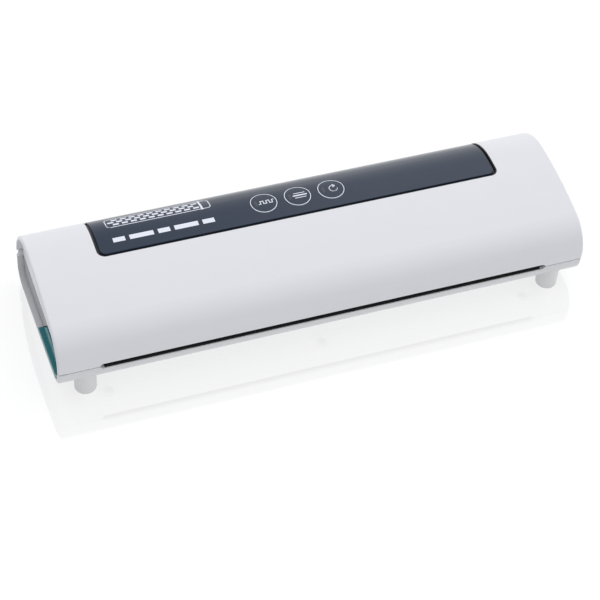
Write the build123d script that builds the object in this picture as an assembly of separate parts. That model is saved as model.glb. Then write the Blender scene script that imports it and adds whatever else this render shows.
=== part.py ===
"""Counter-top vacuum sealer: a long clamshell with a curved lid, two end release buttons,
a control strip with three keys, a seal bar, a vacuum trough and a pump in the base.

Millimetres. X runs along the machine, Y from the front (-Y) to the rear (+Y), Z is up.
The origin is on the table, under the middle of the machine.
"""

import os
from math import asin, atan2, cos, hypot, pi, sin, sqrt

from build123d import *

# ---------------------------------------------------------------- overall sizes
width = 360.0  # along X
depth = 113.0  # along Y
height = 60.0  # table to the highest line of the lid
half_w, half_d = width / 2, depth / 2
part_z = 0.43 * height  # parting line between base and lid
seam = 0.6  # gap between base and lid at the parting line
end_seam = 1.1  # the same gap above the end caps and buttons

# ---------------------------------------------------------------- outline of the body
nose_r = 0.21 * depth  # front of the lid
crown_r = 2.09 * depth  # shallow top of the lid
rear_r = 0.6 * height  # rear shoulder of the lid
lip_r = 0.55 * part_z  # front lip of the base
heel_r = 11.8  # rear lower corner of the base
underside_front = 0.372 * part_z  # height of the underside at the front lip
underside_rear = 1.7  # and just ahead of the heel
lid_wall = 2.2
base_wall = 2.8
end_recess = 3.8  # how far the end walls sit inside the rims
end_wall = 2.2
end_round = 1.6  # rounding of the end rims

# ---------------------------------------------------------------- hinge
knuckle_r = 2.4
hinge_y = half_d - knuckle_r - 0.1
hinge_z = part_z
hinge_gap = 0.4  # between a knuckle and the wall it passes
pin_r = 1.0
pin_clear = 0.05
knuckle_out, knuckle_in = 0.667 * half_w, 0.333 * half_w  # where the knuckles change over
pin_length = 0.42 * half_w

# ---------------------------------------------------------------- bag slot, seal bar, trough
slot_half = 0.839 * half_w
slot_up, slot_down = 2.5, 2.2  # above and below the parting line
lip_t = 0.7  # wall left in front of the black slot floor
notch_x, notch_up, notch_down = 9.0, 1.2, 0.9  # widening of the gap at the front corners
deck_top = part_z - 2.4
deck_t = 2.2
bar_y, bar_w, bar_h = -half_d + 19.5, 10.0, 2.8
band_w, band_t = 2.5, 0.2
tape_w, tape_t = 6.0, 0.35
pad_gap = 0.05  # seal pad to tape with the lid shut
ring_x, ring_w = 0.867 * half_w, 4.0
ring_front, ring_rear = -half_d + 26.5, -half_d + 52.5
trough_x, trough_wall = 0.811 * half_w, 1.2
trough_front, trough_rear = ring_front + 6.0, ring_rear - 6.0
trough_floor = 0.36 * part_z + 4.0
gasket_meet = part_z + 1.2

# ---------------------------------------------------------------- machine cover and lid liner
cover_front = -half_d + 54.6
cover_rear = half_d - 9.5
cover_top = height - 15.5
cover_wall = 2.0
cover_x = half_w - 12.0
flange_top = deck_top - 0.5
liner_t = 2.0
liner_low = part_z + 5.2  # underside of the front part of the liner
liner_high = height - 12.6  # underside of the raised rear part
liner_step = cover_front - 4.6  # front face of the step between them

# ---------------------------------------------------------------- control strip
panel_half, panel_mid = 0.759 * half_w, 1.6
panel_front = -half_d + 62.2
panel_turn = 0.96  # how far the strip wraps over the rear shoulder, radians
panel_corner = 4.0
panel_t = 2.6
panel_round = 0.5  # rounding of its upper edge
frame_gap = 2.2  # width of the dark frame around the strip
upstand = 0.8  # its outer wall, which nearly reaches the surface
groove = 1.8  # depth of the groove between the upstand and the strip
key_r, key_gap = 9.0, 0.35
key_pitch = 23.5
key_middle = 2.6  # X of the middle key
key_y = half_d - rear_r + 0.9
key_drop = 0.8
ring_line = 0.5
board_bottom = liner_high + liner_t + 0.6
board_t = 1.6
tact_h = 2.4

# ---------------------------------------------------------------- release buttons
button_gap = 0.5
button_top = part_z + seam / 2 - end_seam
button_front = -half_d + 5.5
button_in = half_w - end_recess - 2.2  # its inner face
face_front, face_rear = 2.6, 3.4  # depth of the thumb face below the rim
button_rear_low, button_rear_high = 2.5 + 7.3, -14.5  # Y of its slanted rear edge, low and high
hook_y, hook_w, hook_t = -half_d + 30.0, 6.0, 2.8
hook_x = half_w - 15.1
hook_bottom = underside_front + base_wall - 0.2
slide_low, slide_high = hook_bottom + 2.3, hook_bottom + 5.8
window_clear = 2.5

# ---------------------------------------------------------------- feet and fasteners
foot_r, foot_x, foot_y = 7.2, half_w - 18.9, -half_d + 8.5
pad_r, pad_x, pad_y = 6.0, half_w - 30.0, half_d - 16.0
screw_r, head_r, head_h = 1.5, 2.8, 2.0
boss_r = 3.5

# ---------------------------------------------------------------- pump and power parts
motor_r, motor_len = 11.5, 32.0
motor_x, motor_y = 0.11 * half_w, 0.41 * half_d
motor_z = 0.45 * height
shaft_r, shaft_clear = 1.15, 0.05
gland_x, gland_z, gland_r, gland_hole = 0.72 * half_w, 0.5 * part_z, 4.6, 3.2


# ---------------------------------------------------------------- helpers
def block(x0, x1, y0, y1, z0, z1):
    """A box between two corners."""
    return Pos((x0 + x1) / 2, (y0 + y1) / 2, (z0 + z1) / 2) * Box(x1 - x0, y1 - y0, z1 - z0)


def rod_x(x0, x1, y, z, r):
    return Pos((x0 + x1) / 2, y, z) * Rot(0, 90, 0) * Cylinder(r, x1 - x0)


def rod_y(x, y0, y1, z, r):
    return Pos(x, (y0 + y1) / 2, z) * Rot(90, 0, 0) * Cylinder(r, y1 - y0)


def rod_z(x, y, z0, z1, r):
    return Pos(x, y, (z0 + z1) / 2) * Cylinder(r, z1 - z0)


def column(x0, x1, y0, y1, corner, z0=-1.0, z1=None):
    """An upright prism with rounded corners in plan."""
    z1 = height + 5 if z1 is None else z1
    plan = RectangleRounded(x1 - x0, y1 - y0, corner)
    return Pos((x0 + x1) / 2, (y0 + y1) / 2, z0) * extrude(plan, amount=z1 - z0)


def arc(centre, r, start, end):
    """Part of a circle in the side view, by the angles of its ends."""
    at = [(centre[0] + r * cos(a), centre[1] + r * sin(a)) for a in (start, (start + end) / 2, end)]
    return ThreePointArc(*at), at[0], at[2]


def side_plate(points, x0, x1):
    """A prism along X from a polygon in the side view."""
    face = make_face(Plane.YZ * Polyline(*points, close=True))
    return Pos(x0, 0, 0) * extrude(face, amount=x1 - x0, dir=(1, 0, 0))


def both(make):
    """A feature on the right and its mirror on the left."""
    right = make()
    return right + mirror(right, about=Plane.YZ)


# ---------------------------------------------------------------- side view of the whole body
crown_y = half_d - rear_r
tip = asin((half_d + crown_y - nose_r) / (crown_r - nose_r))
crown_c = (crown_y, height - crown_r)
rear_c = (crown_y, height - rear_r)
nose_c = (crown_y - (crown_r - nose_r) * sin(tip), height - crown_r + (crown_r - nose_r) * cos(tip))
seam_y = nose_c[0] - sqrt(nose_r**2 - (part_z - nose_c[1]) ** 2)
lip_c = (seam_y + lip_r, underside_front + lip_r)
heel_c = (half_d - heel_r, underside_rear + heel_r)
run, rise = heel_c[0] - lip_c[0], heel_c[1] - lip_c[1]
under = atan2(rise, run) + asin((lip_r - heel_r) / hypot(run, rise))


def section(inset):
    """The body outline seen from the end, moved inwards by inset."""
    rn, rl, rh, rr = nose_r - inset, lip_r - inset, heel_r - inset, rear_r - inset
    nose_end = pi - asin((part_z - nose_c[1]) / rn)
    nose, nose_top, nose_low = arc(nose_c, rn, pi / 2 + tip, nose_end)
    lip, lip_top, lip_low = arc(lip_c, rl, pi, 1.5 * pi + under)
    heel, heel_low, heel_top = arc(heel_c, rh, under - pi / 2, 0)
    rear, rear_low, rear_top = arc(rear_c, rr, 0, pi / 2)
    crown, crown_rear, crown_front = arc(crown_c, crown_r - inset, pi / 2, pi / 2 + tip)
    lines = [nose, Line(nose_low, lip_top), lip, Line(lip_low, heel_low), heel]
    lines += [Line(heel_top, rear_low), rear, crown]
    return make_face(Plane.YZ * (Curve() + lines))


def prism(inset, x0, x1):
    """The body outline, inset, run along X."""
    return Pos(x0, 0, 0) * extrude(section(inset), amount=x1 - x0, dir=(1, 0, 0))


def skin(outer, inner, x0, x1):
    """What lies between two insets of the outline."""
    return prism(outer, x0, x1) - prism(inner, x0 - 1, x1 + 1)


def under_z(y):
    """Height of the outside of the base's straight underside at y."""
    low = (lip_c[0] + lip_r * sin(under), lip_c[1] - lip_r * cos(under))
    return low[1] + (y - low[0]) * sin(under) / cos(under)


above = block(-half_w - 5, half_w + 5, -half_d - 5, half_d + 5, part_z + seam / 2, height + 5)
below = block(-half_w - 5, half_w + 5, -half_d - 5, half_d + 5, -5, part_z - seam / 2)
outer = prism(0, -half_w, half_w)
end_faces = outer.faces().filter_by(Axis.X)
outer = fillet(end_faces.edges(), end_round)
cap_out = half_w - end_recess  # outer face of the end walls

slot_shape = make_face(
    Plane.XZ
    * Polyline(
        (-slot_half - 3, part_z), (-slot_half, part_z + slot_up), (slot_half, part_z + slot_up),
        (slot_half + 3, part_z), (slot_half, part_z - slot_down), (-slot_half, part_z - slot_down),
        close=True,
    )
)
bag_slot = Pos(0, -half_d + 8, 0) * extrude(slot_shape, amount=12, dir=(0, -1, 0))
notch_shape = Polyline(
    (half_w - notch_x, part_z), (half_w + 1, part_z + notch_up), (half_w + 1, part_z - notch_down),
    close=True,
)
notches = both(
    lambda: Pos(0, -half_d + 12, 0) * extrude(make_face(Plane.XZ * notch_shape), amount=14, dir=(0, -1, 0))
)

parts = {}


# ---------------------------------------------------------------- screws
def screw(x, y, z, length, turn=1):
    """A pan-head screw with its head's underside at z; turn 1 points up, -1 points down."""
    head = rod_z(0, 0, -head_h, 0, head_r)
    head = fillet(head.edges().filter_by(GeomType.CIRCLE).group_by(Axis.Z)[0], 0.6)
    head -= block(-1.7, 1.7, -0.35, 0.35, -head_h - 1, -head_h + 0.9)
    head -= block(-0.35, 0.35, -1.7, 1.7, -head_h - 1, -head_h + 0.9)
    shank = rod_z(0, 0, 0, length - 1, screw_r) + Pos(0, 0, length - 0.5) * Cone(screw_r, 0.6, 1)
    return Pos(x, y, z) * Rot(0 if turn > 0 else 180, 0, 0) * (head + shank)


deck_screws = [(s * (half_w - 22.5), -half_d + 42.0) for s in (-1, 1)]
deck_screws += [(s * (half_w - 34.0), -half_d + 9.5) for s in (-1, 1)] + [(0, -half_d + 9.5)]
cover_screws = [(s * (cover_x - 5.0), y) for s in (-1, 1) for y in (cover_front + 7.5, cover_rear - 7.0)]


def base_screw_z(y):
    """Height of the underside of a base screw's head."""
    if y < lip_c[0]:
        return lip_c[1] - sqrt(lip_r**2 - (y - lip_c[0]) ** 2) + 3.4
    return under_z(y) + 3.4


# ---------------------------------------------------------------- base shell
rear_cut_z = hinge_z - knuckle_r - hinge_gap
shell = (outer & below) - prism(base_wall, -half_w - 1, half_w + 1)
shell -= bag_slot + notches
floor_z = deck_top - 1.0
slot_floor = block(-slot_half + 1, slot_half - 1, seam_y + lip_t, -half_d + 5, floor_z, part_z)
shell -= slot_floor
shell -= block(-half_w - 1, half_w + 1, half_d - 8, half_d + 1, rear_cut_z, part_z + 5)


def knuckle(x0, x1, low):
    """A stretch of hinge barrel with the web that joins it to its wall."""
    barrel = rod_x(x0, x1, hinge_y, hinge_z, knuckle_r)
    z0, z1 = (rear_cut_z - 0.2, hinge_z) if low else (hinge_z, 2 * hinge_z - rear_cut_z + 0.2)
    inner = half_d - (base_wall if low else lid_wall)
    return barrel + block(x0, x1, inner, hinge_y + knuckle_r, z0, z1)


base_knuckles = knuckle(-knuckle_in, knuckle_in, True)
base_knuckles += both(lambda: knuckle(knuckle_out, half_w - 1.2, True))
pins = both(lambda: rod_x(half_w - 1.7 - pin_length, half_w - 1.7, hinge_y, hinge_z, pin_r))
shell += base_knuckles & prism(0, -half_w, half_w)
shell -= both(lambda: rod_x(knuckle_out - 1, half_w, hinge_y, hinge_z, pin_r))

# ribs that the release slides run on, posts for their springs, stand-offs for board and pump
slide_y0, slide_y1 = hook_y - 7.5, hook_y + 7.5
slide_in = hook_x - hook_t / 2 - 1.7 - 0.3 - 3.0  # inner face of the catch bar
spring_in = slide_in - 8.5
inner_space = prism(1.0, -half_w, half_w)
base_inside = prism(base_wall, -half_w, half_w)
ribs = both(
    lambda: block(slide_in - 2, cap_out - 6, slide_y0, slide_y0 + 1.6, 2, slide_low - 0.3)
    + block(slide_in - 2, cap_out - 6, slide_y1 - 1.6, slide_y1, 2, slide_low - 0.3)
    + block(spring_in - 2, spring_in, hook_y - 4, hook_y + 4, 2, slide_high + 1.2)
)
board_x0, board_x1 = -0.83 * half_w, -0.39 * half_w
board_y0, board_y1 = cover_front + 7.5, cover_rear - 5.0
board_z = 12.0
stand_offs = [(x, y) for x in (board_x0 + 5, board_x1 - 5) for y in (board_y0 + 4, board_y1 - 4)]
head_x0 = motor_x + motor_len + 4.0  # pump head, behind its bracket
head_len = 28.0
pump_feet = [(motor_x + motor_len + 2.0, motor_y + s * 11.0) for s in (-1, 1)]
valve_x, valve_y = 0.72 * half_w, cover_front + 17.0
posts = [rod_z(x, y, 2, board_z, 3.0) for x, y in stand_offs]
pump_post_z = motor_z - motor_r - 3.0
posts += [rod_z(x, y, 2, pump_post_z, 3.5) for x, y in pump_feet]
valve_post_z = 9.0
posts += [rod_z(valve_x, valve_y, 2, valve_post_z, 4.5)]
pads = [rod_z(x, y, 1, base_screw_z(y) + 1.2, 5.0) for x, y in deck_screws + cover_screws]
# solid corners in front of the release buttons
corners = prism(base_wall - 0.5, cap_out - 5.0, half_w - 1.5)
corners &= block(0, half_w, -half_d, button_front - 0.5, 0, button_top)
if corners:
    shell += both(lambda: corners)
shell += inner_space & (ribs + posts + pads)
for x, y in deck_screws + cover_screws:
    z = base_screw_z(y)
    shell -= rod_z(x, y, -2, z, head_r + 0.4) + rod_z(x, y, z - 1, z + 3, screw_r + 0.2)
shell -= rod_y(gland_x, half_d - 6, half_d + 1, gland_z, gland_r)
shell -= rod_y(gland_x, half_d - 1.2, half_d + 1, gland_z, gland_r + 1.6)
parts["base_shell"] = shell
parts["hinge_pins"] = pins

# ---------------------------------------------------------------- cord gland, cord not fitted
gland = rod_y(gland_x, half_d - 10, half_d - 1.2, gland_z, gland_r)
gland += rod_y(gland_x, half_d - 1.2, half_d - 0.2, gland_z, gland_r + 1.6)
gland += rod_y(gland_x, half_d - base_wall - 2.5, half_d - 2, gland_z, gland_r + 1.2) & base_inside
parts["cord_gland"] = gland - rod_y(gland_x, half_d - 11, half_d + 1, gland_z, gland_hole)

# ---------------------------------------------------------------- feet
foot = rod_z(foot_x, foot_y, 0, part_z, foot_r)
foot = fillet(foot.edges().filter_by(GeomType.CIRCLE).group_by(Axis.Z)[0], 1.4)
foot -= prism(0, -half_w - 1, half_w + 1)
parts["front_feet"] = foot + mirror(foot, about=Plane.YZ)
rear_pad = rod_z(pad_x, pad_y, 0, 6, pad_r) - prism(0, -half_w - 1, half_w + 1)
parts["rear_pads"] = rear_pad + mirror(rear_pad, about=Plane.YZ)


# ---------------------------------------------------------------- end caps and release buttons
def button_zone(grow):
    """Side-view zone of the release button, widened by grow."""
    low, high = button_rear_low + grow, button_rear_high + grow
    return [(-half_d - 5, -5), (low + 5, -5), (low, 0), (high, button_top), (-half_d - 5, button_top)]


cap = prism(base_wall + 1.1, cap_out - 2.6, cap_out) + prism(base_wall, cap_out - 5.0, cap_out - 2.6)
cap &= block(-half_w, half_w, button_front - 0.4, half_d, -1, button_top)
cap -= block(0, half_w, half_d - base_wall - 3.6, half_d, rear_cut_z - 0.1, part_z + 1)
cap -= prism(base_wall + 3.0, cap_out - 6, cap_out - 2.4) & block(0, half_w, -half_d, half_d, 0, deck_top - 4)
window = side_plate(
    [(y, z + (1 if z > 0 else 0)) for y, z in button_zone(0.4)], cap_out - 12, cap_out + 1
)
cap -= window
cap -= block(0, half_w, slide_y0 - 0.4, slide_y1 + 0.4, slide_low - 0.4, slide_high + 0.4)
button = prism(base_wall + button_gap, button_in, half_w - 0.5)
button &= side_plate(button_zone(0), cap_out - 12, half_w + 1)
button &= block(0, half_w, button_front, half_d, -1, height)
# the finger ledge follows the lower edge, the face behind it is dished
ledge = prism(base_wall + button_gap, half_w - 12, half_w) - prism(
    base_wall + button_gap + 1.9, half_w - 13, half_w + 1
)


def tilted(front_depth, rear_depth):
    """What lies outside a plane whose depth below the rim grows towards the rear."""
    y0, y1 = -half_d - 5, 12.0
    face = make_face(
        Plane.XY
        * Polyline(
            (half_w - front_depth, y0), (half_w + 3, y0), (half_w + 3, y1), (half_w - rear_depth, y1),
            close=True,
        )
    )
    return Pos(0, 0, -5) * extrude(face, amount=part_z + 10)


button -= tilted(face_front, face_rear) - ledge
left = {"end_cap": cap, "button": button}

# the slide joins the button to the catch bar, around the lid's hook
slide = block(slide_in, button_in, slide_y0, slide_y1, slide_low, slide_high)
win_out = hook_x + hook_t / 2 + window_clear + 0.4
slide -= block(slide_in + 3.0, win_out, hook_y - 5.6, hook_y + 5.6, slide_low - 1, slide_high + 1)
slide = fillet(slide.edges().filter_by(Axis.Z).group_by(Axis.X)[0], 1.0)
left["slide"] = slide
for name, thing in left.items():
    parts["right_" + name] = thing
    parts["left_" + name] = mirror(thing, about=Plane.YZ)

# coil springs behind the catch bars
spring_r, wire_r = 2.1, 0.35
spring_z = (slide_low + slide_high) / 2
spring_len = slide_in - spring_in
coil = Helix(pitch=1.5, height=spring_len - 2 * wire_r, radius=spring_r)
coil_wire = sweep(Plane(coil @ 0, z_dir=coil % 0) * Circle(wire_r), path=coil)
coil_wire = Pos(spring_in + wire_r, hook_y, spring_z) * Rot(0, 90, 0) * coil_wire
parts["latch_springs"] = coil_wire + mirror(coil_wire, about=Plane.YZ)

# ---------------------------------------------------------------- front deck
deck_x = cap_out - 5.0
deck = block(-deck_x, deck_x, -half_d, cover_front - 0.7, deck_top - deck_t, deck_top)
deck &= prism(base_wall, -half_w, half_w)
deck += slot_floor & block(-half_w, half_w, -half_d, -half_d + 5, floor_z, deck_top)
if corners:
    deck -= both(lambda: corners)
deck -= column(-trough_x - 0.3, trough_x + 0.3, trough_front - 0.3, trough_rear + 0.3, 3.0)
deck -= both(
    lambda: block(hook_x - hook_t / 2 - 3.0, hook_x + hook_t / 2 + 1.2, hook_y - 6, hook_y + 5, 0, part_z)
)
for x, y in deck_screws:
    boss = rod_z(x, y, base_screw_z(y) + 1.2, deck_top - 0.5, boss_r)
    deck += boss & base_inside
    deck -= rod_z(x, y, 0, base_screw_z(y) + 9.0, screw_r)
parts["base_deck"] = deck

# ---------------------------------------------------------------- seal bar, heater and tape
bar_top = deck_top + bar_h
bar = block(-slot_half - 1, slot_half + 1, bar_y - bar_w / 2, bar_y + bar_w / 2, deck_top, bar_top)
parts["seal_bar"] = chamfer(bar.edges().filter_by(Axis.X).group_by(Axis.Z)[-1], 1.0)
band_x = slot_half - 1.0
band = block(-band_x, band_x, bar_y - band_w / 2, bar_y + band_w / 2, bar_top, bar_top + band_t)
parts["heating_band"] = band
tape_top = bar_top + tape_t
tape = block(-slot_half, slot_half, bar_y - tape_w / 2, bar_y + tape_w / 2, bar_top, tape_top)
parts["ptfe_tape"] = tape - band

# ---------------------------------------------------------------- vacuum trough and lower gasket
trough = column(-trough_x, trough_x, trough_front, trough_rear, 2.7, trough_floor, deck_top)
trough += column(
    -trough_x - 1.4, trough_x + 1.4, trough_front - 1.4, trough_rear + 1.4, 4.0, deck_top, deck_top + 1.0
)
trough -= column(
    -trough_x + trough_wall, trough_x - trough_wall, trough_front + trough_wall,
    trough_rear - trough_wall, 1.6, trough_floor + trough_wall, deck_top + 5,
)
nozzle_z = trough_floor + 3.4
hose_x = head_x0 + head_len + 17.0
for x in (hose_x, valve_x):
    trough -= rod_y(x, trough_rear - 3, trough_rear + 1, nozzle_z, 1.6)
parts["vacuum_trough"] = trough
nozzle = rod_y(hose_x, trough_rear, trough_rear + 7, nozzle_z, 2.0)
nozzle += rod_y(hose_x, trough_rear, trough_rear + 1.2, nozzle_z, 3.6)
nozzle -= rod_y(hose_x, trough_rear - 1, trough_rear + 8, nozzle_z, 1.2)
parts["chamber_nozzle"] = nozzle


def gasket(z0, z1, grow=0.0):
    """A rounded rectangular ring between two heights."""
    w = ring_w + grow
    ring = column(-ring_x - grow, ring_x + grow, ring_front - grow, ring_rear + grow, 6.0 + grow, z0, z1)
    return ring - column(
        -ring_x + w, ring_x - w, ring_front + w, ring_rear - w, 3.0, z0 - 1, z1 + 1
    )


def soft_ring(z0, z1, top):
    """A gasket ring with its free face rounded."""
    ring = gasket(z0, z1)
    free = ring.edges().group_by(Axis.Z)[-1 if top else 0]
    return fillet(free, 1.1)


parts["lower_gasket"] = soft_ring(deck_top, gasket_meet, True)

# ---------------------------------------------------------------- machine cover
cover_side = [
    (cover_front, flange_top - deck_t), (cover_front, flange_top), (cover_front + 2.4, cover_top - 3.5),
    (cover_front + 5.4, cover_top), (cover_rear - 10.5, cover_top), (cover_rear - 2.5, cover_top - 7.5),
    (cover_rear, flange_top), (cover_rear, flange_top - deck_t),
]
cover = side_plate(cover_side, -cover_x, cover_x)
cover = fillet(cover.edges().filter_by(Axis.X).group_by(Axis.Z)[-1], 2.0)
plate = block(-deck_x, deck_x, cover_front - 0.6, half_d, flange_top - deck_t, flange_top)
cover += plate & base_inside
inner_side = [
    (cover_front + 2, flange_top - deck_t - 1), (cover_front + 2, flange_top),
    (cover_front + 4.3, cover_top - 4.2), (cover_front + 6.4, cover_top - 2),
    (cover_rear - 11.3, cover_top - 2), (cover_rear - 4.4, cover_top - 8.5), (cover_rear - 2, flange_top),
    (cover_rear - 2, flange_top - deck_t - 1),
]
cover -= side_plate(inner_side, -cover_x + cover_wall, cover_x - cover_wall)
for x, y in cover_screws:
    boss = rod_z(x, y, base_screw_z(y) + 1.2, cover_top - 6.5, boss_r)
    cover += boss & base_inside
    cover -= rod_z(x, y, 0, base_screw_z(y) + 10.0, screw_r)
parts["machine_cover"] = cover

# ---------------------------------------------------------------- base screws
base_screws = [screw(x, y, base_screw_z(y), 9.0) for x, y in deck_screws + cover_screws]
parts["base_screws"] = Compound(children=base_screws)

# ---------------------------------------------------------------- power board and transformer
board = block(board_x0, board_x1, board_y0, board_y1, board_z, board_z + board_t)
parts["power_board"] = board
top = board_z + board_t
core_x, core_y = board_x0 + 24.0, (board_y0 + board_y1) / 2
core = block(core_x - 14, core_x + 14, core_y - 9, core_y + 9, top, top + 24)
core -= block(core_x - 9.5, core_x - 4.5, core_y - 10, core_y + 10, top + 4.5, top + 19.5)
core -= block(core_x + 4.5, core_x + 9.5, core_y - 10, core_y + 10, top + 4.5, top + 19.5)
parts["transformer_core"] = core
coil_z0, coil_z1 = top + 4.5, top + 19.5
winding = block(core_x - 9.5, core_x + 9.5, core_y - 14, core_y + 14, coil_z0, coil_z1)
winding = fillet(winding.edges().filter_by(Axis.Z), 3.0)
winding -= block(core_x - 14, core_x + 14, core_y - 9, core_y + 9, top, top + 24) & core
parts["transformer_coil"] = winding - block(
    core_x - 4.5, core_x + 4.5, core_y - 9, core_y + 9, coil_z0 - 1, coil_z1 + 1
)
cap_x = board_x1 - 12
things = [rod_z(cap_x, core_y + s * 8, top, top + 16, 5.0) for s in (-1, 1)]
things += [block(cap_x - 20, cap_x - 9, core_y - 12, core_y + 2, top, top + 9)]
things += [block(cap_x - 20, cap_x - 9, core_y + 5, core_y + 12, top, top + 6)]
parts["board_parts"] = Compound(children=things)

# ---------------------------------------------------------------- pump, valve and hose
motor = rod_x(motor_x, motor_x + motor_len, motor_y, motor_z, motor_r)
motor = fillet(motor.edges().filter_by(GeomType.CIRCLE), 1.5)
motor -= rod_x(motor_x + 6, motor_x + motor_len + 1, motor_y, motor_z, shaft_r + shaft_clear)
parts["pump_motor"] = motor
bracket_x0 = motor_x + motor_len
bracket = block(bracket_x0, head_x0, motor_y - 14, motor_y + 14, pump_post_z + 2, motor_z + 13)
bracket += block(bracket_x0 - 3, head_x0, motor_y - 15, motor_y + 15, pump_post_z, pump_post_z + 2)
bracket -= rod_x(bracket_x0 - 1, head_x0 + 1, motor_y, motor_z, 3.5)
parts["pump_bracket"] = bracket
head = block(head_x0, head_x0 + head_len, motor_y - 13, motor_y + 13, motor_z - 12, motor_z + 12)
head = fillet(head.edges().filter_by(Axis.X), 3.0)
head -= block(head_x0 - 1, head_x0 + 13, motor_y - 9, motor_y + 9, motor_z - 8.5, motor_z + 8.5)
port_z = motor_z - 4.0
for s in (-1, 1):
    head += rod_x(head_x0 + head_len, head_x0 + head_len + 6, motor_y + s * 6, port_z, 2.0)
for s in (-1, 1):
    head -= rod_x(head_x0 + head_len - 4, head_x0 + head_len + 8, motor_y + s * 6, port_z, 1.2)
parts["pump_head"] = head
shaft = rod_x(motor_x + 8, head_x0 + 9, motor_y, motor_z, shaft_r)
parts["motor_shaft"] = shaft
cam = rod_x(head_x0 + 2, head_x0 + 8, motor_y, motor_z, 6.2)
cam += rod_x(head_x0 + 8, head_x0 + 10, motor_y + 2.2, motor_z, 3.0)
parts["pump_eccentric"] = cam - rod_x(head_x0 + 1, head_x0 + 11, motor_y, motor_z, shaft_r)
turn_y, port_y = trough_rear + 9.5, motor_y - 6
tail_x = head_x0 + head_len + 6.5
bend = Spline((hose_x, turn_y, nozzle_z), (tail_x, port_y, port_z), tangents=[(0, 1, 0), (-1, 0, 0)])


def hose_solid(r):
    lead = rod_y(hose_x, trough_rear + 1.4, turn_y, nozzle_z, r)
    curve = sweep(Plane(bend @ 0, z_dir=bend % 0) * Circle(r), path=bend)
    return lead + curve + rod_x(head_x0 + head_len + 1, tail_x, port_y, port_z, r)


parts["air_hose"] = hose_solid(3.0) - hose_solid(2.0)
valve = block(valve_x - 9, valve_x + 9, valve_y - 9, valve_y + 9, valve_post_z, nozzle_z + 5)
valve += rod_z(valve_x, valve_y, nozzle_z + 5, nozzle_z + 19, 8.0)
valve += rod_y(valve_x, trough_rear, valve_y - 8, nozzle_z, 2.4)
valve += rod_z(valve_x, valve_y, nozzle_z + 19, nozzle_z + 21, 3.0)
parts["release_valve"] = valve - rod_y(valve_x, trough_rear - 1, valve_y, nozzle_z, 1.6)
switch_x, switch_y, switch_z = 0.65 * half_w, lip_c[0] + 5.0, deck_top - deck_t
switch = block(switch_x - 7, switch_x + 7, switch_y - 3, switch_y + 3, switch_z - 7, switch_z)
parts["lid_switch"] = switch

# ---------------------------------------------------------------- lid shell
def strip_zone(grow):
    """Prism over the control strip, widened by grow; its rear side is square to the skin."""
    a = panel_turn + grow / rear_r
    far, near = rear_r + 8, rear_r - 14
    out_edge = (rear_c[0] + far * sin(a), rear_c[1] + far * cos(a))
    in_edge = (rear_c[0] + near * sin(a), rear_c[1] + near * cos(a))
    front = panel_front - grow
    side = [(front, in_edge[1]), (front, height + 8), (crown_y, height + 8), out_edge, in_edge]
    zone = side_plate(side, panel_mid - panel_half - grow, panel_mid + panel_half + grow)
    slant = Vector(0, sin(a), cos(a))
    upright = zone.edges().filter_by(Axis.Z)
    upright += zone.edges().filter_by(lambda e: abs((e % 0.5).dot(slant)) > 0.999)
    return fillet(upright, max(panel_corner + 0.7 * grow, 1.5))


lid_x = cap_out - end_wall  # inside of the lid's end walls
lid = (outer & above) - prism(lid_wall, -lid_x, lid_x)
lid -= both(lambda: prism(lid_wall, cap_out, half_w + 1))
lid -= bag_slot + notches
lid_rear_z = 2 * hinge_z - rear_cut_z
lid -= block(-half_w - 1, half_w + 1, half_d - lid_wall - 3, half_d + 1, 0, lid_rear_z)
lid_knuckles = both(lambda: knuckle(knuckle_in + hinge_gap, knuckle_out - hinge_gap, False))
lid += lid_knuckles & prism(0, -half_w, half_w)
lid -= both(
    lambda: rod_x(half_w - 2.2 - pin_length, knuckle_out, hinge_y, hinge_z, pin_r + pin_clear)
)
lid -= strip_zone(frame_gap)
lid_screws_low = [(s * 0.78 * half_w, -half_d + 38.0) for s in (-1, 1)] + [(0, -half_d + 40.0)]
lid_screws_high = [(s * (panel_half + 17.0), y) for s in (-1, 1) for y in (liner_step + 10, half_d - 26)]
lid_inside = prism(lid_wall - 0.8, -lid_x - 1, lid_x + 1)
for x, y in lid_screws_low:
    boss = rod_z(x, y, liner_low + liner_t, height, boss_r) & lid_inside
    lid += boss - rod_z(x, y, 0, liner_low + 9, screw_r)
for x, y in lid_screws_high:
    boss = rod_z(x, y, liner_high + liner_t, height, boss_r) & lid_inside
    lid += boss - rod_z(x, y, 0, liner_high + 6.5, screw_r)
parts["lid_shell"] = lid

# ---------------------------------------------------------------- lid liner
def beside_cover(z, gap):
    """Y of a line that runs along the cover's rear slope, gap away, at height z."""
    ny, nz = 7.5 / hypot(8, 7.5), 8 / hypot(8, 7.5)
    return cover_rear - 10.5 + (gap - nz * (z - cover_top)) / ny


liner = block(-lid_x, lid_x, -half_d, liner_step + liner_t, liner_low, liner_low + liner_t)
liner += block(-lid_x, lid_x, liner_step, liner_step + liner_t, liner_low, liner_high + liner_t)
liner_top = liner_high + liner_t
liner += side_plate(
    [
        (liner_step, liner_high), (beside_cover(liner_high, 1.0), liner_high),
        (beside_cover(part_z, 1.0), part_z), (beside_cover(part_z, 1.0 + liner_t), part_z),
        (beside_cover(liner_top, 1.0 + liner_t), liner_top), (liner_step, liner_top),
    ],
    -lid_x, lid_x,
)
liner &= prism(lid_wall, -lid_x, lid_x)
pad_top = liner_low - 1.0
holder = block(-slot_half - 2, slot_half + 2, bar_y - 5, bar_y + 5, liner_low - 2.0, liner_low)
liner += holder - block(
    -slot_half, slot_half, bar_y - tape_w / 2, bar_y + tape_w / 2, liner_low - 3, pad_top
)
gasket_top = liner_low - 1.2
liner += gasket(gasket_top, liner_low, 0.8)
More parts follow.
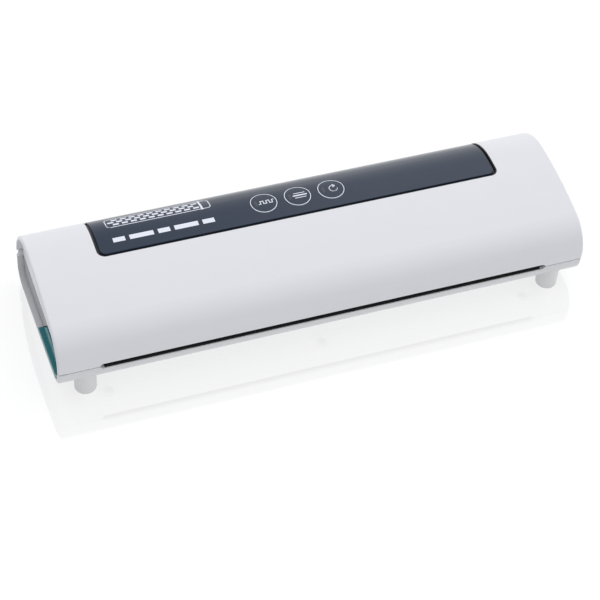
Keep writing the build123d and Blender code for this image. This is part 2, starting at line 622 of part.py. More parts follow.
for x, y in lid_screws_low:
    liner -= rod_z(x, y, liner_low - 5, liner_low + 5, screw_r + 0.2)
for x, y in lid_screws_high:
    liner -= rod_z(x, y, liner_high - 1, liner_high + 5, screw_r + 0.2)
board_hw, board_front, board_rear = 52.0, key_y - 13.0, key_y + 13.0
board_posts = [(s * (board_hw - 4), y) for s in (-1, 1) for y in (board_front + 4, board_rear - 4)]
for x, y in board_posts:
    liner += rod_z(x, y, liner_high + 1, board_bottom, 2.5)
parts["lid_liner"] = liner
lid_screws = [screw(x, y, liner_low, 8.0) for x, y in lid_screws_low]
lid_screws += [screw(x, y, liner_high, 6.0) for x, y in lid_screws_high]
parts["lid_screws"] = Compound(children=lid_screws)

pad = block(-slot_half, slot_half, bar_y - tape_w / 2, bar_y + tape_w / 2, tape_top + pad_gap, pad_top)
parts["seal_pad"] = fillet(pad.edges().filter_by(Axis.X).group_by(Axis.Z)[0], 0.8)
parts["upper_gasket"] = soft_ring(gasket_meet + 0.05, gasket_top, False)

# hooks that drop through the deck beside the catch bars
root = block(hook_x - 6, hook_x + 5, hook_y - 5, hook_y + 5, liner_low - 2.0, liner_low)
tongue = block(hook_x - hook_t / 2, hook_x + hook_t / 2, hook_y - hook_w / 2, hook_y + hook_w / 2,
               hook_bottom, liner_low - 2.0)
barb_in = hook_x - hook_t / 2
barb = Polyline(
    (barb_in + 0.5, hook_bottom), (barb_in, hook_bottom), (barb_in - 1.7, hook_bottom + 1.4),
    (barb_in - 1.7, hook_bottom + 2.0), (barb_in + 0.5, hook_bottom + 2.0), close=True,
)
barb = Pos(0, hook_y + hook_w / 2, 0) * extrude(make_face(Plane.XZ * barb), amount=hook_w, dir=(0, -1, 0))
hook = root + tongue + barb
parts["latch_hooks"] = hook + mirror(hook, about=Plane.YZ)

# ---------------------------------------------------------------- control strip
panel = skin(0.1, panel_t, panel_mid - panel_half - 1, panel_mid + panel_half + 1) & strip_zone(0)


def on_top(edge):
    """Whether an edge lies on the strip's upper face, other than the line between its two curves."""
    y, z = (edge @ 0.5).Y, (edge @ 0.5).Z
    c, r = (crown_c, crown_r) if y < crown_y else (rear_c, rear_r)
    return abs(r - 0.1 - hypot(y - c[0], z - c[1])) < 0.02 and abs(y - crown_y) > 0.1


panel = fillet(panel.edges().filter_by(on_top), panel_round)
across = panel_half + 8
frame = skin(0.25, 4.6, panel_mid - across, panel_mid + across) & strip_zone(frame_gap - 0.05)
frame += skin(lid_wall, 4.6, panel_mid - across, panel_mid + across) & strip_zone(frame_gap + 3)
frame -= strip_zone(frame_gap - upstand) & skin(-1, groove, -half_w, half_w)
frame -= strip_zone(0.05) & skin(-1, panel_t, -half_w, half_w)
frame -= strip_zone(-3)

keys = {"pulse": key_middle - key_pitch, "seal": key_middle, "auto": key_middle + key_pitch}
board = block(-board_hw, board_hw, board_front, board_rear, board_bottom, board_bottom + board_t)
board_top = board_bottom + board_t
tacts, leds = [], []
lens_off, lens_w, lens_l = 5.3, 1.7, 4.6
for name, x in keys.items():
    panel -= rod_z(x, key_y, part_z, height + 2, key_r + key_gap)
    stem_z = board_top + tact_h + key_drop + 0.2
    key = skin(0.1, panel_t + 0.35, x - 12, x + 12) & rod_z(x, key_y, part_z, height + 2, key_r)
    key += skin(panel_t + 0.35, panel_t + 1.3, x - 12, x + 12) & rod_z(
        x, key_y, rear_c[1] + 8, height + 2, key_r + 1.2
    )
    key += rod_z(x, key_y, stem_z, height - panel_t - 1.0, 2.0)
    edge = rod_z(x, key_y, part_z, height + 2, key_r) - rod_z(x, key_y, 0, height + 3, key_r - ring_line)
    ring = skin(0.1, 0.7, x - 12, x + 12) & edge
    lens_box = block(
        x - lens_off - lens_w / 2, x - lens_off + lens_w / 2, key_y - lens_l / 2, key_y + lens_l / 2,
        rear_c[1] + 8, height + 2,
    )
    lens = skin(0.1, panel_t + 1.3, x - 12, x + 12) & lens_box
    for piece in (ring, lens):
        key -= piece
    parts[name + "_key"] = key
    parts[name + "_ring"] = ring
    parts[name + "_lens"] = lens
    tacts.append(block(x - 3, x + 3, key_y - 3, key_y + 3, board_top, board_top + tact_h))
    leds.append(
        block(x - lens_off - 0.8, x - lens_off + 0.8, key_y - 1.6, key_y + 1.6, board_top, board_top + 1.4)
    )
parts["control_panel"] = panel
parts["panel_frame"] = frame
parts["control_board"] = board
parts["tact_switches"] = Compound(children=tacts)
parts["status_leds"] = Compound(children=leds)

os.makedirs("parts", exist_ok=True)
for name, solid in parts.items():
    solid = Compound(children=list(solid.solids()))
    export_step(solid, f"parts/{name}.step")
    print(name, len(solid.solids()), round(solid.volume))
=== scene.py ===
import math

import bpy
from mathutils import Matrix, Vector


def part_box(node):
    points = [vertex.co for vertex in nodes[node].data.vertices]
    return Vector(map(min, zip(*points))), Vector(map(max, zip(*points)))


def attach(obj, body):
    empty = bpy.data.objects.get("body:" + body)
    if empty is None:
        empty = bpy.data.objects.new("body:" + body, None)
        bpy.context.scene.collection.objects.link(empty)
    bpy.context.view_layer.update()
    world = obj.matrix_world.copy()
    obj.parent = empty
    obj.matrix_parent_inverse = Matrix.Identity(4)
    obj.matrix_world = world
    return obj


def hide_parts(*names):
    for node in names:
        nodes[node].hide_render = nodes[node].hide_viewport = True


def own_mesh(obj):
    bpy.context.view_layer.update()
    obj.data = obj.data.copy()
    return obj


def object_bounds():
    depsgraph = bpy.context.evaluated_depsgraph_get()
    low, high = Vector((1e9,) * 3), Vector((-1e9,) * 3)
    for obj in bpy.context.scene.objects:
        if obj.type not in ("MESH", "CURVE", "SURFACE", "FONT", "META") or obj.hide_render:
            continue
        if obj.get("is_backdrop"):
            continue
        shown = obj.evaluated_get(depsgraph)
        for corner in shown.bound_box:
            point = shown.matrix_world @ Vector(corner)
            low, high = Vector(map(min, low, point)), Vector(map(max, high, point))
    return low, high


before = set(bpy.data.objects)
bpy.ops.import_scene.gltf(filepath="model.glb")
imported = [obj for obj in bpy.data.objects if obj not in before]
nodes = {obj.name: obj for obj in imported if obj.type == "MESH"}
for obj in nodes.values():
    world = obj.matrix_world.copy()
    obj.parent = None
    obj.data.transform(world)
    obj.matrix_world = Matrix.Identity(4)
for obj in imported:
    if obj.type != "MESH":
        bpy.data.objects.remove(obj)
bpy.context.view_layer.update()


# ------------------------------------------------------------------ selecting and finishing
def deselect():
    if bpy.context.mode != "OBJECT":
        bpy.ops.object.mode_set(mode="OBJECT")
    bpy.ops.object.select_all(action="DESELECT")


def pick(piece):
    deselect()
    piece.select_set(True)
    bpy.context.view_layer.objects.active = piece


def apply_modifiers(piece):
    pick(piece)
    for modifier in list(piece.modifiers):
        bpy.ops.object.modifier_apply(modifier=modifier.name)


def settle(piece):
    """Puts the piece's place into its mesh."""
    pick(piece)
    bpy.ops.object.transform_apply(location=True, rotation=True, scale=True)


def join(name, pieces):
    deselect()
    for piece in pieces:
        piece.select_set(True)
    bpy.context.view_layer.objects.active = pieces[0]
    if len(pieces) > 1:
        bpy.ops.object.join()
    whole = bpy.context.view_layer.objects.active
    whole.name = name
    whole.data.name = name
    return whole


# ------------------------------------------------------------------ materials
def shader(name):
    """A new material with its nodes, its links and its surface shader."""
    material = bpy.data.materials.new(name)
    material.use_nodes = True
    tree = material.node_tree
    return material, tree.nodes, tree.links, tree.nodes["Principled BSDF"]


def place_on(nodes_, links, scale=(1, 1, 1)):
    """Object coordinates, stretched."""
    coords = nodes_.new("ShaderNodeTexCoord")
    mapping = nodes_.new("ShaderNodeMapping")
    mapping.inputs["Scale"].default_value = scale
    links.new(coords.outputs["Object"], mapping.inputs["Vector"])
    return mapping.outputs["Vector"]


def noise(nodes_, links, where, scale, detail=3.0, rough=0.55):
    texture = nodes_.new("ShaderNodeTexNoise")
    texture.inputs["Scale"].default_value = scale
    texture.inputs["Detail"].default_value = detail
    texture.inputs["Roughness"].default_value = rough
    links.new(where, texture.inputs["Vector"])
    return texture.outputs["Fac"]


def spread(nodes_, links, value, low, high, dark=0.3, light=0.7):
    """A 0 to 1 value mapped to a narrow band."""
    band = nodes_.new("ShaderNodeMapRange")
    band.inputs["From Min"].default_value = dark
    band.inputs["From Max"].default_value = light
    band.inputs["To Min"].default_value = low
    band.inputs["To Max"].default_value = high
    links.new(value, band.inputs["Value"])
    return band.outputs["Result"]


def tint(nodes_, links, value, first, second):
    """A blend of two colours."""
    mix = nodes_.new("ShaderNodeMix")
    mix.data_type = "RGBA"
    mix.inputs["A"].default_value = (*first, 1)
    mix.inputs["B"].default_value = (*second, 1)
    links.new(value, mix.inputs["Factor"])
    return mix.outputs["Result"]


def relief(nodes_, links, height, distance, strength):
    """A bump from a 0 to 1 height, distance in metres."""
    bump = nodes_.new("ShaderNodeBump")
    bump.inputs["Distance"].default_value = distance
    bump.inputs["Strength"].default_value = strength
    links.new(height, bump.inputs["Height"])
    return bump.outputs["Normal"]


def moulded(name, colour, rough, grain=900.0, depth=0.00002, mottle=0.02, coat=0.0):
    """Moulded plastic: slight mottling, uneven gloss and a fine spark texture."""
    material, n, links, surface = shader(name)
    where = place_on(n, links)
    cloudy = noise(n, links, where, 38.0, 4.0)
    light = tuple(min(1.0, c * (1 + mottle)) for c in colour)
    dark = tuple(c * (1 - mottle) for c in colour)
    links.new(tint(n, links, spread(n, links, cloudy, 0, 1), dark, light), surface.inputs["Base Color"])
    smear = noise(n, links, where, 130.0, 5.0, 0.65)
    links.new(spread(n, links, smear, rough * 0.88, rough * 1.14), surface.inputs["Roughness"])
    fine = noise(n, links, where, grain, 2.0, 0.5)
    links.new(relief(n, links, fine, depth, 0.5), surface.inputs["Normal"])
    surface.inputs["IOR"].default_value = 1.49
    surface.inputs["Coat Weight"].default_value = coat
    surface.inputs["Coat Roughness"].default_value = 0.06
    return material


def metal(name, colour, rough, along=(1, 14, 14), grain=220.0, depth=0.000015):
    """Bare or plated metal with drawing lines along one axis."""
    material, n, links, surface = shader(name)
    where = place_on(n, links, along)
    lines = noise(n, links, where, grain, 4.0, 0.7)
    patch = noise(n, links, place_on(n, links), 60.0, 3.0)
    light = tuple(min(1.0, c * 1.08) for c in colour)
    dark = tuple(c * 0.86 for c in colour)
    links.new(tint(n, links, spread(n, links, patch, 0, 1), dark, light), surface.inputs["Base Color"])
    links.new(spread(n, links, lines, rough * 0.75, rough * 1.3), surface.inputs["Roughness"])
    links.new(relief(n, links, lines, depth, 0.6), surface.inputs["Normal"])
    surface.inputs["Metallic"].default_value = 1.0
    return material


def foam(name, colour):
    """Closed-cell foam rubber: pitted and dull."""
    material, n, links, surface = shader(name)
    where = place_on(n, links)
    cells = n.new("ShaderNodeTexVoronoi")
    cells.inputs["Scale"].default_value = 1500.0
    links.new(where, cells.inputs["Vector"])
    cloudy = noise(n, links, where, 300.0, 4.0)
    dark = tuple(c * 0.7 for c in colour)
    links.new(tint(n, links, spread(n, links, cloudy, 0, 1), dark, colour), surface.inputs["Base Color"])
    links.new(relief(n, links, cells.outputs["Distance"], 0.00015, 0.7), surface.inputs["Normal"])
    links.new(spread(n, links, cloudy, 0.75, 0.92), surface.inputs["Roughness"])
    surface.inputs["Specular IOR Level"].default_value = 0.3
    return material


def woven_tape(name, colour):
    """Glass cloth coated with slippery film: a fine square weave."""
    material, n, links, surface = shader(name)
    along = n.new("ShaderNodeTexWave")
    across = n.new("ShaderNodeTexWave")
    where = place_on(n, links)
    for wave, way in ((along, "X"), (across, "Y")):
        wave.bands_direction = way
        wave.inputs["Scale"].default_value = 420.0
        wave.inputs["Distortion"].default_value = 0.3
        links.new(where, wave.inputs["Vector"])
    mix = n.new("ShaderNodeMix")
    mix.inputs["Factor"].default_value = 0.5
    links.new(along.outputs["Fac"], mix.inputs["A"])
    links.new(across.outputs["Fac"], mix.inputs["B"])
    weave = mix.outputs["Result"]
    dark = tuple(c * 0.72 for c in colour)
    links.new(tint(n, links, weave, dark, colour), surface.inputs["Base Color"])
    links.new(relief(n, links, weave, 0.00006, 0.6), surface.inputs["Normal"])
    links.new(spread(n, links, weave, 0.42, 0.28, 0, 1), surface.inputs["Roughness"])
    return material


def winding(name, colour):
    """Enamelled wire wound round a bobbin."""
    material, n, links, surface = shader(name)
    turns = n.new("ShaderNodeTexWave")
    turns.bands_direction = "Z"
    turns.inputs["Scale"].default_value = 380.0
    turns.inputs["Distortion"].default_value = 0.15
    links.new(place_on(n, links), turns.inputs["Vector"])
    dark = tuple(c * 0.45 for c in colour)
    links.new(tint(n, links, turns.outputs["Fac"], dark, colour), surface.inputs["Base Color"])
    links.new(relief(n, links, turns.outputs["Fac"], 0.0002, 0.9), surface.inputs["Normal"])
    surface.inputs["Metallic"].default_value = 0.75
    surface.inputs["Roughness"].default_value = 0.3
    surface.inputs["Coat Weight"].default_value = 0.6
    return material


def laminated(name, colour):
    """A stack of thin steel sheets, seen as lines across its sides."""
    material, n, links, surface = shader(name)
    sheets = n.new("ShaderNodeTexWave")
    sheets.bands_direction = "Y"
    sheets.inputs["Scale"].default_value = 300.0
    sheets.inputs["Distortion"].default_value = 0.0
    where = place_on(n, links)
    links.new(where, sheets.inputs["Vector"])
    dark = tuple(c * 0.5 for c in colour)
    links.new(tint(n, links, sheets.outputs["Fac"], dark, colour), surface.inputs["Base Color"])
    links.new(relief(n, links, sheets.outputs["Fac"], 0.00015, 0.8), surface.inputs["Normal"])
    links.new(spread(n, links, noise(n, links, where, 200.0), 0.35, 0.6), surface.inputs["Roughness"])
    surface.inputs["Metallic"].default_value = 0.9
    return material


def circuit(name, mask, track):
    """Solder mask with copper tracks showing through it."""
    material, n, links, surface = shader(name)
    where = place_on(n, links)
    cells = n.new("ShaderNodeTexVoronoi")
    cells.feature = "DISTANCE_TO_EDGE"
    cells.distance = "MANHATTAN"
    cells.inputs["Scale"].default_value = 230.0
    links.new(where, cells.inputs["Vector"])
    lines = spread(n, links, cells.outputs["Distance"], 1.0, 0.0, 0.02, 0.09)
    links.new(tint(n, links, lines, mask, track), surface.inputs["Base Color"])
    links.new(relief(n, links, lines, 0.00004, 0.8), surface.inputs["Normal"])
    links.new(spread(n, links, noise(n, links, where, 90.0), 0.22, 0.34), surface.inputs["Roughness"])
    surface.inputs["Coat Weight"].default_value = 0.4
    return material


white_shell = moulded("white_shell", (0.700, 0.708, 0.745), 0.34, 900.0, 0.000002, 0.006, 0.12)
base_white = moulded("base_white", (0.655, 0.660, 0.682), 0.38, 900.0, 0.000002, 0.006, 0.10)
# painted shade: the end caps are the housing's white plastic, coloured mid grey for the shade they sit
# in
cap_painted_shade = moulded("cap_painted_shade", (0.30, 0.30, 0.325), 0.45, 1100.0, 0.00003, 0.03)
foot_grey = moulded("foot_grey", (0.70, 0.70, 0.715), 0.42, 900.0, 0.00002, 0.02)
slate_gloss = moulded("slate_gloss", (0.024, 0.036, 0.062), 0.10, 500.0, 0.000001, 0.03)
# painted reflection: the strip's specular level is turned down towards its left end, standing in for the
# darker surroundings it reflects there
tree = slate_gloss.node_tree
coords = tree.nodes.new("ShaderNodeTexCoord")
split = tree.nodes.new("ShaderNodeSeparateXYZ")
tree.links.new(coords.outputs["Object"], split.inputs["Vector"])
painted_dim_reflection, full_gloss, painted_dim_reflection_x, full_x = 0.26, 0.52, -0.13, 0.06
painted_reflection_fade = spread(tree.nodes, tree.links, split.outputs["X"], painted_dim_reflection, full_gloss, painted_dim_reflection_x, full_x)
tree.links.new(painted_reflection_fade, tree.nodes["Principled BSDF"].inputs["Specular IOR Level"])
# painted shadow: the frame round the key strip is near black to stand for the dark gap between the strip
# and the shell
gap_painted_shadow_black = moulded("gap_painted_shadow_black", (0.004, 0.004, 0.006), 0.34, 600.0, 0.00001, 0.05)
inner_black = moulded("inner_black", (0.030, 0.030, 0.033), 0.52, 1300.0, 0.00005, 0.06)
bar_resin = moulded("bar_resin", (0.05, 0.045, 0.04), 0.60, 1600.0, 0.00006, 0.12)
teal_gloss = moulded("teal_gloss", (0.016, 0.190, 0.215), 0.28, 800.0, 0.00001, 0.03)
soft_black = moulded("soft_black", (0.018, 0.018, 0.019), 0.72, 1500.0, 0.00008, 0.08)
slide_nylon = moulded("slide_nylon", (0.62, 0.60, 0.54), 0.45, 900.0, 0.00003, 0.03)
print_white = moulded("print_white", (0.74, 0.77, 0.86), 0.35, 1800.0, 0.00001, 0.01)
lens_dark = moulded("lens_dark", (0.010, 0.010, 0.020), 0.06, 600.0, 0.000001, 0.02, 1.0)
part_black = moulded("part_black", (0.03, 0.03, 0.033), 0.4, 1200.0, 0.00003, 0.06)
led_body = moulded("led_body", (0.80, 0.80, 0.72), 0.15, 900.0, 0.000005, 0.02, 0.5)
pump_grey = moulded("pump_grey", (0.20, 0.21, 0.22), 0.42, 1100.0, 0.00004, 0.05)
silicone_pale = moulded("silicone_pale", (0.66, 0.64, 0.60), 0.38, 700.0, 0.00002, 0.04)
surface = silicone_pale.node_tree.nodes["Principled BSDF"]
surface.inputs["Subsurface Weight"].default_value = 0.25
surface.inputs["Subsurface Scale"].default_value = 0.003
steel = metal("steel", (0.62, 0.62, 0.63), 0.26)
can_steel = metal("can_steel", (0.66, 0.66, 0.66), 0.22, (20, 1, 1))
nichrome = metal("nichrome", (0.52, 0.49, 0.45), 0.30)
gasket_foam = foam("gasket_foam", (0.085, 0.085, 0.09))
tape_cloth = woven_tape("tape_cloth", (0.36, 0.25, 0.13))
copper_turns = winding("copper_turns", (0.62, 0.28, 0.12))
core_sheets = laminated("core_sheets", (0.32, 0.33, 0.35))
board_green = circuit("board_green", (0.006, 0.085, 0.035), (0.02, 0.22, 0.09))

finishes = {
    white_shell: ["lid_shell"],
    base_white: ["base_shell"],
    cap_painted_shade: ["left_end_cap", "right_end_cap"],
    foot_grey: ["front_feet"],
    slate_gloss: ["control_panel", "pulse_key", "seal_key", "auto_key"],
    gap_painted_shadow_black: ["panel_frame"],
    inner_black: [
        "base_deck", "vacuum_trough", "machine_cover", "lid_liner", "latch_hooks", "chamber_nozzle",
    ],
    bar_resin: ["seal_bar"],
    teal_gloss: ["left_button", "right_button"],
    soft_black: ["rear_pads", "cord_gland"],
    slide_nylon: ["left_slide", "right_slide", "pump_eccentric"],
    print_white: ["pulse_ring", "seal_ring", "auto_ring"],
    lens_dark: ["pulse_lens", "seal_lens", "auto_lens"],
    part_black: ["board_parts", "lid_switch", "release_valve", "tact_switches"],
    led_body: ["status_leds"],
    pump_grey: ["pump_head"],
    silicone_pale: ["seal_pad", "air_hose"],
    steel: ["hinge_pins", "latch_springs", "base_screws", "lid_screws", "motor_shaft", "pump_bracket"],
    can_steel: ["pump_motor"],
    nichrome: ["heating_band"],
    gasket_foam: ["lower_gasket", "upper_gasket"],
    tape_cloth: ["ptfe_tape"],
    copper_turns: ["transformer_coil"],
    core_sheets: ["transformer_core"],
    board_green: ["power_board", "control_board"],
}
for finish, names in finishes.items():
    for name in names:
        mesh = nodes[name].data
        mesh.materials.clear()
        mesh.materials.append(finish)


# ------------------------------------------------------------------ printed marks on the key strip
mm = 0.001
print_lift = 0.04 * mm  # how far the print stands off the surface
print_start_z = 80 * mm  # the print is cut above the lid, then dropped on it
print_facet = 1.5 * mm


def bar_print(x, y, w, h):
    """A flat rectangle well above the strip, cut fine enough to follow its curve."""
    deselect()
    bpy.ops.mesh.primitive_plane_add(size=1, location=(x, y, print_start_z))
    bar = bpy.context.active_object
    bar.scale = (w, h, 1)
    settle(bar)
    bpy.ops.object.mode_set(mode="EDIT")
    bpy.ops.mesh.select_all(action="SELECT")
    bpy.ops.mesh.subdivide(number_cuts=max(1, int(max(w, h) / print_facet)))
    bpy.ops.object.mode_set(mode="OBJECT")
    return bar


def line_print(points, width):
    """A run of straight strokes with square joints."""
    strokes = []
    for (x0, y0), (x1, y1) in zip(points, points[1:]):
        length = math.hypot(x1 - x0, y1 - y0) + width
        stroke = bar_print(0, 0, length, width)
        stroke.rotation_euler = (0, 0, math.atan2(y1 - y0, x1 - x0))
        stroke.location = ((x0 + x1) / 2, (y0 + y1) / 2, 0)
        settle(stroke)
        strokes.append(stroke)
    return strokes


def arc_print(x, y, r, start, end, width, steps=20):
    """A round stroke between two angles in degrees."""
    points = []
    for i in range(steps + 1):
        a = math.radians(start + (end - start) * i / steps)
        points.append((x + r * math.cos(a), y + r * math.sin(a)))
    return line_print(points, width)


def lay_on(name, strokes, surface, body):
    """Drops the print on the surface below it and gives it its thickness."""
    mark = join(name, strokes)
    settle(mark)
    wrap = mark.modifiers.new("lay", "SHRINKWRAP")
    wrap.target = surface
    wrap.wrap_method = "PROJECT"
    wrap.use_project_z = True
    wrap.use_negative_direction = True
    wrap.use_positive_direction = False
    wrap.offset = print_lift
    thick = mark.modifiers.new("thick", "SOLIDIFY")
    thick.thickness = 1.5 * print_lift
    thick.offset = -1
    apply_modifiers(mark)
    mark.data.materials.clear()
    mark.data.materials.append(print_white)
    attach(mark, body)


def key_centre(name):
    low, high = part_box(name)
    return (low[0] + high[0]) / 2, (low[1] + high[1]) / 2


thin, bold = 0.6 * mm, 1.1 * mm

# steps on the pulse key
x, y = key_centre("pulse_ring")
steps = [(-3.4, -1.2), (-2.2, -1.2), (-2.2, 1.4), (-0.2, 1.4), (-0.2, -1.2), (1.8, -1.2), (1.8, 1.4)]
steps += [(3.8, 1.4), (3.8, -1.2), (5.8, -1.2), (5.8, 1.4), (6.8, 1.4)]
strokes = line_print([(x + a * mm, y + b * mm) for a, b in steps], thin)
lay_on("pulse_mark", strokes, nodes["pulse_key"], "pulse_key")

# a seam between two lines on the seal key
x, y = key_centre("seal_ring")
strokes = line_print([(x - 2.8 * mm, y), (x + 6.0 * mm, y)], bold)
for dy in (2.1 * mm, -2.1 * mm):
    strokes += line_print([(x - 2.0 * mm, y + dy), (x + 5.2 * mm, y + dy)], thin)
lay_on("seal_mark", strokes, nodes["seal_key"], "seal_key")

# a turning arrow on the auto key
x, y = key_centre("auto_ring")
strokes = arc_print(x + 1.6 * mm, y, 2.7 * mm, 62, 345, thin)
arrow = [(2.0, 3.7), (3.3, 2.2), (1.7, 1.2)]
strokes += line_print([(x + a * mm, y + b * mm) for a, b in arrow], thin)
lay_on("auto_mark", strokes, nodes["auto_key"], "auto_key")

# a plain sign of a ribbed bag with its seam, over a row of bold dashes
low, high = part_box("control_panel")
bag_w, bag_h, bag_r = 70 * mm, 11 * mm, 2.5 * mm
seam_inset, rib_pitch, rib_row = 6.0 * mm, 6.0 * mm, 2.9 * mm
bag_x, bag_y = low[0] + 10.0 * mm + bag_w / 2, low[1] + 22.0 * mm + bag_h / 2
bag_left, bag_right = bag_x - bag_w / 2, bag_x + bag_w / 2
bag_low, bag_high = bag_y - bag_h / 2, bag_y + bag_h / 2
strokes = []
for sx, sy, start in ((1, 1, 0), (-1, 1, 90), (-1, -1, 180), (1, -1, 270)):
    corner = (bag_x + sx * (bag_w / 2 - bag_r), bag_y + sy * (bag_h / 2 - bag_r))
    strokes += arc_print(*corner, bag_r, start, start + 90, thin, 6)
for edge_y, edge_x in ((bag_low, bag_left), (bag_high, bag_right)):
    strokes += line_print([(bag_left + bag_r, edge_y), (bag_right - bag_r, edge_y)], thin)
    strokes += line_print([(edge_x, bag_low + bag_r), (edge_x, bag_high - bag_r)], thin)
seam_x = bag_right - seam_inset
strokes += line_print([(seam_x, bag_low), (seam_x, bag_high)], 1.4 * mm)
for row in (-1, 0, 1):
    first_x = bag_left + (6.5 if row else 3.5) * mm
    for column in range(10):
        x = first_x + column * rib_pitch
        if x < seam_x - rib_pitch / 2:
            strokes += [bar_print(x, bag_y + row * rib_row, 4.0 * mm, 1.7 * mm)]
lay_on("bag_sign", strokes, nodes["control_panel"], "lid")

strokes = []
dash_gap, dash_height = 3 * mm, 3.8 * mm
x, row_y = low[0] + 10.5 * mm, low[1] + 9.8 * mm
for length in (8 * mm, 16 * mm, 8 * mm, 16 * mm, 8 * mm):
    strokes += [bar_print(x + length / 2, row_y, length, dash_height)]
    x += length + dash_gap
lay_on("strip_dashes", strokes, nodes["control_panel"], "lid")

# ------------------------------------------------------------------ springs behind the catch bars
spring_length, coil_radius, wire_radius, coil_pitch = 8.5 * mm, 2.1 * mm, 0.35 * mm, 1.5 * mm


def coil_spring(name):
    """A coil along X from the origin, made by screwing a wire's section about X."""
    deselect()
    bpy.ops.mesh.primitive_circle_add(vertices=10, radius=wire_radius, location=(0, 0, 0))
    coil = bpy.context.active_object
    bpy.ops.object.mode_set(mode="EDIT")
    bpy.ops.mesh.select_all(action="SELECT")
    bpy.ops.transform.translate(value=(wire_radius, coil_radius, 0))
    bpy.ops.object.mode_set(mode="OBJECT")
    coil.name = coil.data.name = name
    wind = coil.modifiers.new("wind", "SCREW")
    wind.axis = "X"
    turns = int((spring_length - 2 * wire_radius) / coil_pitch)
    wind.screw_offset = (spring_length - 2 * wire_radius) / turns
    wind.iterations = turns
    wind.steps = wind.render_steps = 24
    wind.use_merge_vertices = False
    apply_modifiers(coil)
    return coil


low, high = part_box("latch_springs")
middle_y, middle_z = (low[1] + high[1]) / 2, (low[2] + high[2]) / 2
for name, joint, side in (("left_spring", "left_release", -1), ("right_spring", "right_release", 1)):
    spring = coil_spring(name)
    inner_end = side * (high[0] - spring_length)
    spring.location = (inner_end, middle_y, middle_z)
    if side < 0:
        spring.rotation_euler = (0, 0, math.pi)
    settle(spring)
    bpy.ops.object.mode_set(mode="EDIT")
    bpy.ops.mesh.select_all(action="SELECT")
    bpy.ops.mesh.normals_make_consistent(inside=False)
    bpy.ops.object.mode_set(mode="OBJECT")
    spring.data.materials.clear()
    spring.data.materials.append(steel)
    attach(spring, "base")
    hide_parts("latch_springs")
    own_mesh(spring)

# ------------------------------------------------------------------ floor, lights and sky
deselect()
bpy.ops.mesh.primitive_plane_add(size=8, location=(0, 0, 0))
floor = bpy.context.active_object
floor.name = "floor"
material, n, links, surface = shader("floor_pale")
surface.inputs["Base Color"].default_value = (0.26, 0.26, 0.26, 1)
surface.inputs["Roughness"].default_value = 0.9
surface.inputs["Specular IOR Level"].default_value = 0.0
surface.inputs["Emission Color"].default_value = (1, 1, 1, 1)
surface.inputs["Emission Strength"].default_value = 0.80
polish = n.new("ShaderNodeBsdfGlossy")
polish.inputs["Roughness"].default_value = 0.03
mix = n.new("ShaderNodeMixShader")
mix.inputs["Fac"].default_value = 0.2
links.new(surface.outputs["BSDF"], mix.inputs[1])
links.new(polish.outputs["BSDF"], mix.inputs[2])
links.new(mix.outputs["Shader"], n["Material Output"].inputs["Surface"])
floor.data.materials.append(material)
floor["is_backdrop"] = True


# one large soft lamp above and behind, left out of the reflections
lamp_data = bpy.data.lights.new("top_box", "AREA")
lamp_data.shape = "RECTANGLE"
lamp_data.size, lamp_data.size_y = 1.8, 1.4
lamp_data.energy = 6.0
lamp = bpy.data.objects.new("top_box", lamp_data)
bpy.context.scene.collection.objects.link(lamp)
lamp.location = (0.35, 0.35, 1.5)
lamp.rotation_euler = (-lamp.location).to_track_quat("-Z", "Y").to_euler()
lamp.visible_glossy = False

# pale surroundings, darker low down at the left and at the front
world = bpy.data.worlds.new("studio")
bpy.context.scene.world = world
world.use_nodes = True
wn, wl = world.node_tree.nodes, world.node_tree.links
wn.clear()
direction = wn.new("ShaderNodeTexCoord")
split = wn.new("ShaderNodeSeparateXYZ")
wl.new(direction.outputs["Generated"], split.inputs["Vector"])


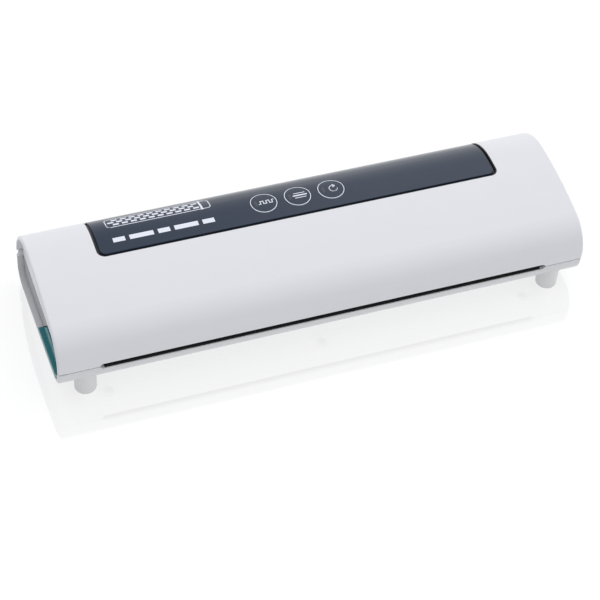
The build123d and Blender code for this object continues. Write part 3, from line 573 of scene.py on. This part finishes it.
def ramp_to(axis, start, end, low, high):
    """A smooth change from low to high along one axis of the direction."""
    band = wn.new("ShaderNodeMapRange")
    band.interpolation_type = "SMOOTHSTEP"
    band.inputs["From Min"].default_value = start
    band.inputs["From Max"].default_value = end
    band.inputs["To Min"].default_value = low
    band.inputs["To Max"].default_value = high
    wl.new(split.outputs[axis], band.inputs["Value"])
    return band.outputs["Result"]


def calc(kind, first, second):
    """Sum, product or the like of two values."""
    node = wn.new("ShaderNodeMath")
    node.operation = kind
    for socket, value in zip(node.inputs, (first, second)):
        if isinstance(value, (int, float)):
            socket.default_value = value
        else:
            wl.new(value, socket)
    return node.outputs["Value"]


left_low = ramp_to("X", -0.1, -0.8, 0.0, 0.85)
front_low = ramp_to("Y", -0.1, -0.8, 0.0, 0.55)
lowness = ramp_to("Z", 0.2, 0.85, 1.0, 0.15)
shade = calc("MULTIPLY", lowness, calc("MAXIMUM", left_low, front_low))
level = calc("SUBTRACT", 1.05, shade)
back = wn.new("ShaderNodeBackground")
out = wn.new("ShaderNodeOutputWorld")
back.inputs["Color"].default_value = (0.985, 0.99, 1.0, 1)
wl.new(level, back.inputs["Strength"])
wl.new(back.outputs["Background"], out.inputs["Surface"])

# ------------------------------------------------------------------ camera
focal, turn, tilt, roll, far = 1859.2, 22.6, 47.2, 4.6, 1.1653
aim = Vector((-0.0231, -0.0565, 0.0668))
centre_x, centre_y = 300.1, 279.8
picture, sensor = 600, 36
a, e, r = (math.radians(v) for v in (turn, tilt, roll))
behind = Vector((-math.sin(a) * math.cos(e), -math.cos(a) * math.cos(e), math.sin(e)))
right = (-behind).cross(Vector((0, 0, 1))).normalized()
up = right.cross(-behind)
side, top = math.cos(r) * right + math.sin(r) * up, -math.sin(r) * right + math.cos(r) * up
turned = Matrix((side, top, behind)).transposed().to_4x4()
data = bpy.data.cameras.new("camera")
data.lens = focal / picture * sensor
data.sensor_width = sensor
data.shift_x = (picture / 2 - centre_x) / picture
data.shift_y = (centre_y - picture / 2) / picture
data.clip_start, data.clip_end = 0.05, 20
camera = bpy.data.objects.new("camera", data)
bpy.context.scene.collection.objects.link(camera)
camera.matrix_world = Matrix.Translation(aim + behind * far) @ turned
bpy.context.scene.camera = camera
bpy.context.scene.view_settings.view_transform = "Standard"

low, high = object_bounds()
